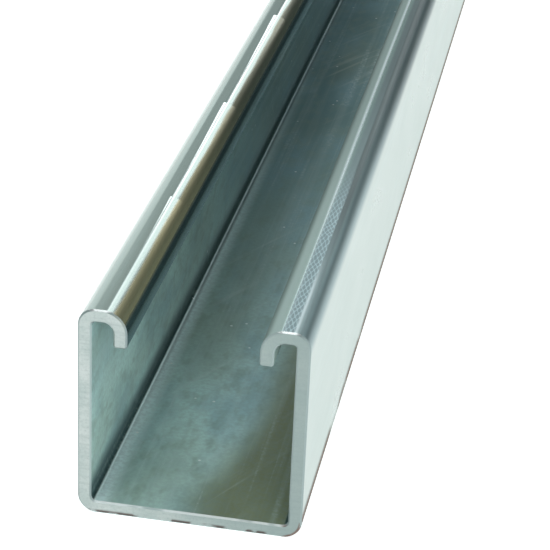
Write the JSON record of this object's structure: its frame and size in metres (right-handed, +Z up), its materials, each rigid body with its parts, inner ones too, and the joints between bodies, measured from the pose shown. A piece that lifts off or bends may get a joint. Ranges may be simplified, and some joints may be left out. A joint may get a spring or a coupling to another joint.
{
  "type": "strut channel",
  "caption": "Straight length of square rolled-steel strut channel with an open slot along the top between two inward-hooked lips.",
  "frame": {"origin": "middle of the length, on the floor under the middle of the web", "axes": "+Y along the channel's length, +X across it, +Z up through the open slot"},
  "size_m": [0.0412, 1, 0.0413],
  "materials": {
    "galvanised_steel": "dull hot-dip zinc coat over rolled steel, paler at the cut ends"
  },
  "bodies": {
    "root": {"channel": "galvanised_steel"}
  },
  "joints": []
}
